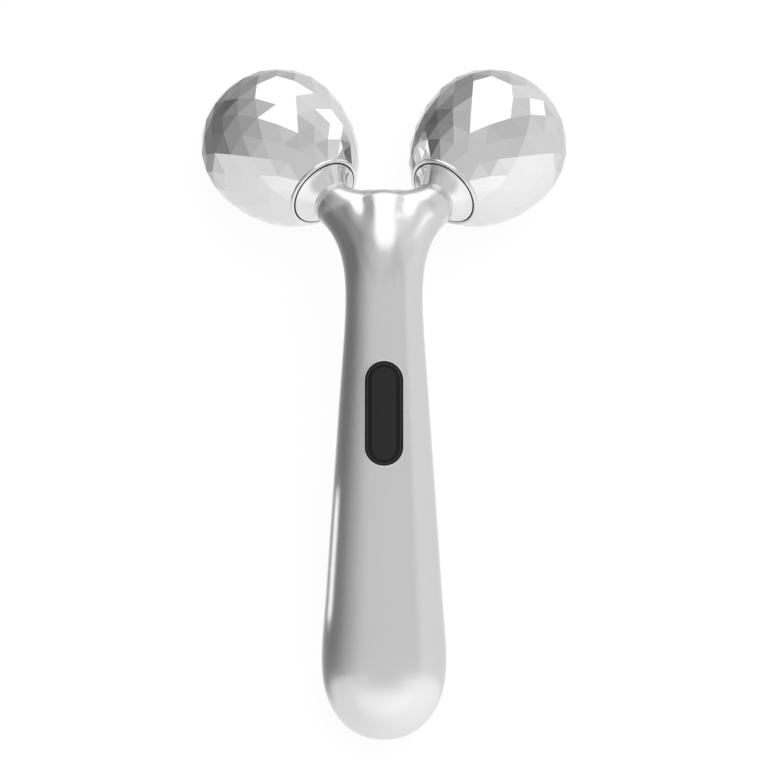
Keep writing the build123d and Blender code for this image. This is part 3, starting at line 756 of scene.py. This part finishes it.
def light_table(tree, direction, parts, in_front):
    """Light of the table that the roller lies on, with its dark corner on the left."""
    light = math_node(tree, "MULTIPLY_ADD", parts["X"], TABLE_RIGHT, TABLE_LEVEL)
    light = math_node(tree, "MULTIPLY_ADD", parts["Z"], TABLE_FRONT, light)
    near = ramp(tree, parts["Y"], *NEAR_FADE, NEAR_LIFT, 0.0)
    light = math_node(tree, "ADD", light, math_node(tree, "MULTIPLY", in_front, near))
    return darkened(tree, light, direction, DARK_CORNER)


def table_mask(tree, parts, in_front):
    """1 where a ray meets the table, whose edge is softer and lower in the middle of the front."""
    to_side = math_node(tree, "ABSOLUTE", parts["X"])
    in_middle = math_node(tree, "MULTIPLY", in_front, ramp(tree, to_side, *MIDDLE_FADE, 1.0, 0.0))
    at_sides = ramp(tree, parts["Y"], *SIDE_EDGE, 1.0, 0.0)
    at_middle = ramp(tree, parts["Y"], *MIDDLE_EDGE, 1.0, 0.0)
    return mix(tree, "FLOAT", at_sides, at_middle, in_middle)


def mottle(tree, direction, parts):
    """Slight unevenness of the surroundings, most of it lost towards the butt."""
    noise = add_node(
        tree, "ShaderNodeTexNoise", Vector=direction, Scale=MOTTLE_SCALE, Detail=MOTTLE_DETAIL,
    )
    uneven = ramp(tree, noise.outputs["Fac"], *MOTTLE_RANGE, -MOTTLE, MOTTLE)
    return math_node(tree, "MULTIPLY", uneven, ramp(tree, parts["Y"], *MOTTLE_FADE, MOTTLE_REST, 1.0))


def with_panel(tree, light, direction, panel):
    """The light, with a bright panel laid over it."""
    centre, across, half_width, half_height, straight, narrowing, brightness = panel
    centre, across = Vector(centre).normalized(), Vector(across)
    across = (across - centre * across.dot(centre)).normalized()
    node = group_node(
        tree, PANEL, Direction=direction, Centre=centre, Across=across, Half_Width=half_width,
        Half_Height=half_height, Softness=PANEL_SOFTNESS, Straight=straight, Narrowing=narrowing,
    )
    return mix(tree, "FLOAT", light, brightness, node.outputs["Mask"])


def studio_world():
    """Soft surroundings: walls, a light table and two bright panels; white to the camera."""
    world = bpy.data.worlds.new("studio")
    bpy.context.scene.world = world
    world.use_nodes = True
    tree = world.node_tree
    tree.nodes.clear()
    direction, parts = ray_direction(tree)
    in_front = ramp(tree, parts["Z"], *FRONT_FADE, 0.0, 1.0)
    table = light_table(tree, direction, parts, in_front)
    light = mix(tree, "FLOAT", walls(tree, direction, parts), table, table_mask(tree, parts, in_front))
    light = math_node(tree, "ADD", light, mottle(tree, direction, parts))
    for panel in (TOP_PANEL, RIGHT_PANEL):
        light = with_panel(tree, light, direction, panel)
    under = ramp(tree, parts["Z"], *UNDER_FADE, UNDER_SHARE, 0.0)
    light = mix(tree, "FLOAT", light, UNDER_LEVEL, under)
    rays = tree.nodes.new("ShaderNodeLightPath").outputs
    light = mix(tree, "FLOAT", light, BACKDROP, rays["Is Camera Ray"])
    background = add_node(tree, "ShaderNodeBackground", Color=grey(1), Strength=light)
    add_node(tree, "ShaderNodeOutputWorld", Surface=background.outputs[0])


# ---- stage ----
def floor():
    """Pale floor: white with the roller's shadow to the camera, and not there for mirrored rays."""
    bpy.ops.mesh.primitive_circle_add(
        vertices=FLOOR_SEGMENTS, radius=FLOOR_RADIUS, fill_type="NGON",
    )
    made = bpy.context.object
    made.name = "floor"
    material, tree, surface = new_material("pale floor")
    surface["Base Color"].default_value = grey(FLOOR_TONE)
    surface["Roughness"].default_value = FLOOR_ROUGH
    surface["Specular IOR Level"].default_value = 0.0
    plain = tree.nodes["Principled BSDF"].outputs[0]
    clear = tree.nodes.new("ShaderNodeBsdfTransparent").outputs[0]
    rays = tree.nodes.new("ShaderNodeLightPath").outputs
    seen = mix_shaders(tree, plain, emission(tree, FLOOR_GLOW), 1 - FLOOR_SHARE)
    shown = mix_shaders(tree, plain, seen, rays["Is Camera Ray"])
    shown = mix_shaders(tree, shown, clear, rays["Is Glossy Ray"])
    feed(tree, tree.nodes["Material Output"].inputs["Surface"], shown)
    give(material, made)


def key_lamp():
    lamp = bpy.data.lights.new("key", "AREA")
    lamp.shape = "DISK"
    lamp.size = KEY_SIZE
    lamp.energy = KEY_POWER
    holder = bpy.data.objects.new("key", lamp)
    bpy.context.scene.collection.objects.link(holder)
    holder.location = KEY_PLACE
    holder.rotation_euler = (-holder.location).to_track_quat("-Z", "Y").to_euler()
    holder.visible_glossy = False


def side_card():
    """Slim bright card low on the left, which draws the line of light along the grip's edge."""
    bpy.ops.mesh.primitive_plane_add(size=1.0)
    made = bpy.context.object
    made.name = "side_card"
    inner, outer = Vector(CARD_INNER), Vector(CARD_OUTER)
    across, up = outer - inner, Vector((0, 1, 0))
    square = Matrix((across.normalized(), up, across.cross(up).normalized())).transposed().to_4x4()
    size = Matrix.Diagonal((across.length, CARD_LENGTH, 1, 1))
    made.data.transform(GRIP @ Matrix.Translation((inner + outer) / 2) @ square @ size)
    material, tree, _ = new_material("bright card")
    tree.nodes.remove(tree.nodes["Principled BSDF"])
    clear = tree.nodes.new("ShaderNodeBsdfTransparent").outputs[0]
    facing = tree.nodes.new("ShaderNodeLayerWeight").outputs["Facing"]
    slanted = ramp(tree, facing, *CARD_SLANT, 0.0, 1.0)
    shown = mix_shaders(tree, emission(tree, CARD_GLOW), clear, slanted)
    feed(tree, tree.nodes["Material Output"].inputs["Surface"], shown)
    material.cycles.emission_sampling = "NONE"
    give(material, made)
    made.visible_camera = False
    made.visible_diffuse = False
    made.visible_shadow = False
    bpy.ops.object.select_all(action="DESELECT")


def camera():
    data = bpy.data.cameras.new("camera")
    data.sensor_width = SENSOR
    data.lens = SENSOR * VIEW_DISTANCE / VIEW_SPAN
    data.clip_start = CLIP_START
    data.clip_end = CLIP_END
    holder = bpy.data.objects.new("camera", data)
    bpy.context.scene.collection.objects.link(holder)
    holder.matrix_world = GRIP @ Matrix.Translation((0, VIEW_STATION, VIEW_DISTANCE))
    bpy.context.scene.camera = holder


roller()
studio_world()
floor()
key_lamp()
side_card()
camera()
bpy.context.scene.view_settings.view_transform = "Standard"
